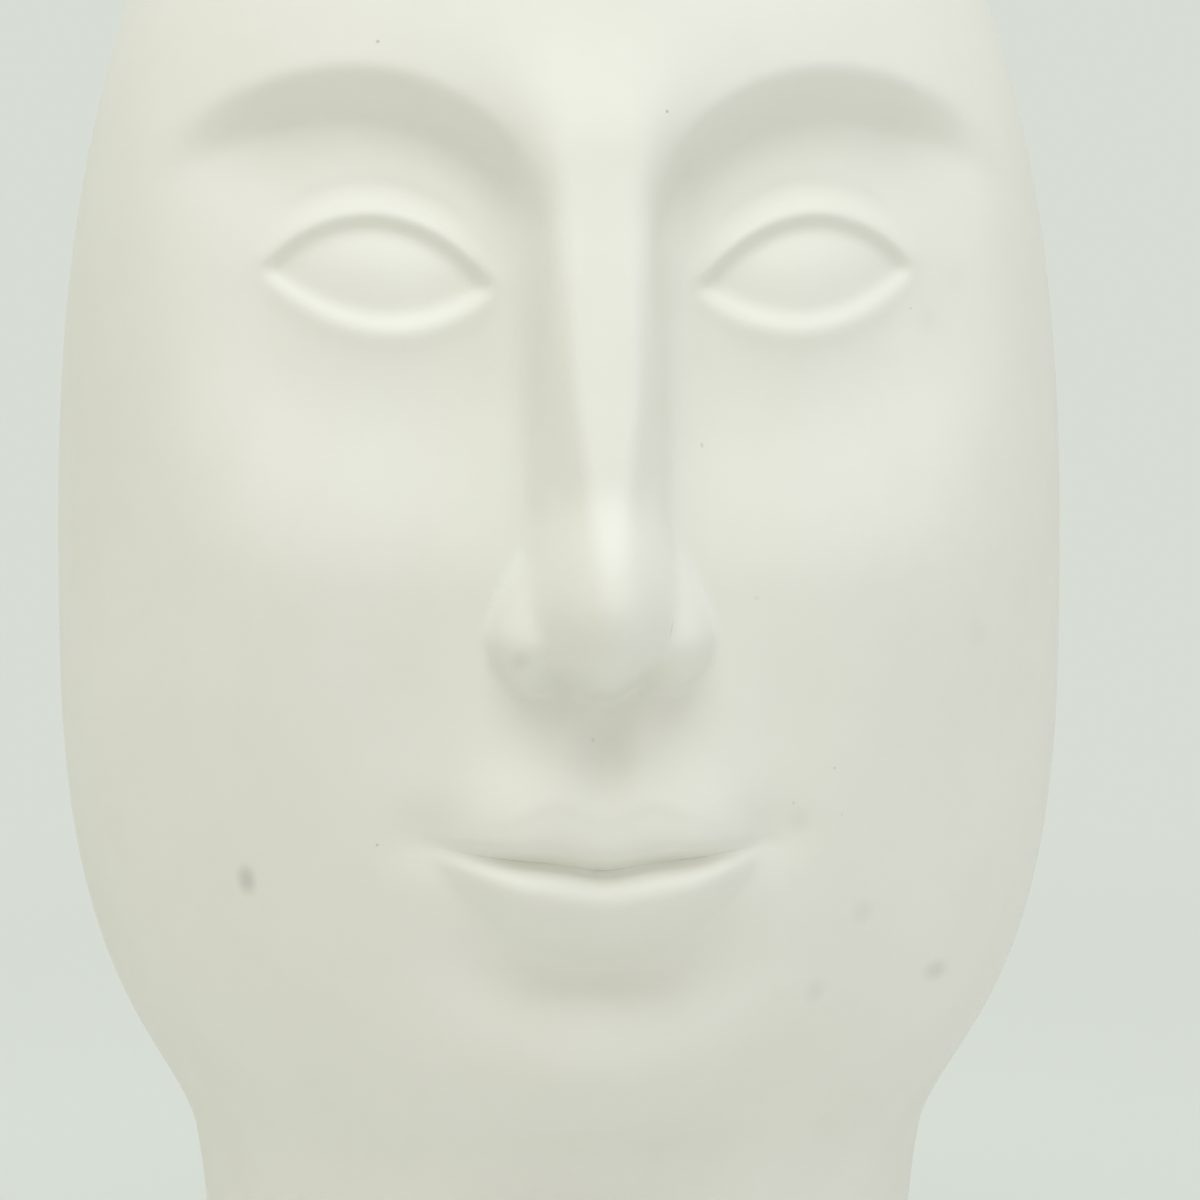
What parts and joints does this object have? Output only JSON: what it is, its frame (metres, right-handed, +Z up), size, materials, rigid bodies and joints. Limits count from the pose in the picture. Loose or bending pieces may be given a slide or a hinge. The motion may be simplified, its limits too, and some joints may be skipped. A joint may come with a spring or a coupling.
{
  "type": "face vase",
  "caption": "Head-shaped vase in matte white unglazed ceramic: a calm face on the front, a waisted neck that flares to the foot, and a round mouth at the crown for flowers",
  "frame": {"origin": "on the axis of the neck, foot and mouth, in the plane that the felt ring rests on", "axes": "+Z up, the face looks along -Y, +X is on a viewer's right when the viewer looks at the face"},
  "size_m": [0.16, 0.1863, 0.3],
  "materials": {
    "bisque": "matte, unglazed outside",
    "felt": "pressed wool felt"
  },
  "bodies": {
    "root": {"face_half": "bisque", "back_half": "bisque", "foot_ring": "bisque", "floor_disc": "bisque", "mouth_collar": "bisque", "felt_ring": "felt"}
  },
  "joints": []
}
